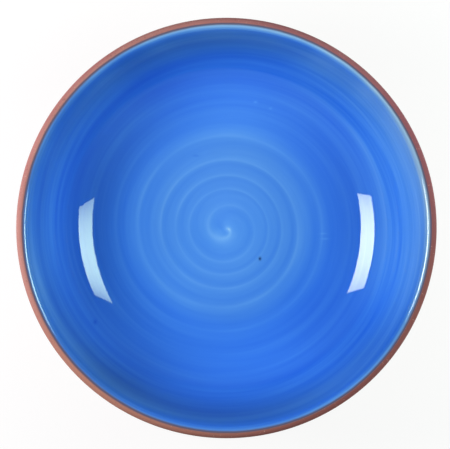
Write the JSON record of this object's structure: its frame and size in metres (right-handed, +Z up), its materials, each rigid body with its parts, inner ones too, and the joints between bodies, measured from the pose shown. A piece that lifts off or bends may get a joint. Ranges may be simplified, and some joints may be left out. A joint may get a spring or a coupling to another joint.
{
  "type": "coupe soup bowl",
  "caption": "Shallow round coupe soup bowl of red terracotta on a low foot ring, with a blue glazed inside over white slip and a bare clay lip.",
  "frame": {"origin": "on the bowl's axis, in the plane that the foot ring stands on", "axes": "+Z up along the bowl's axis, from the table towards the open mouth; the bowl is round, so X and Y are any two square directions"},
  "size_m": [0.21, 0.21, 0.0581],
  "materials": {
    "terracotta": "matte unglazed red clay",
    "white_slip": "matte white engobe",
    "blue_glaze": "glossy blue glaze"
  },
  "bodies": {
    "root": {"terracotta_body": "terracotta", "white_slip_coat": "white_slip", "blue_glaze_lining": "blue_glaze"}
  },
  "joints": []
}
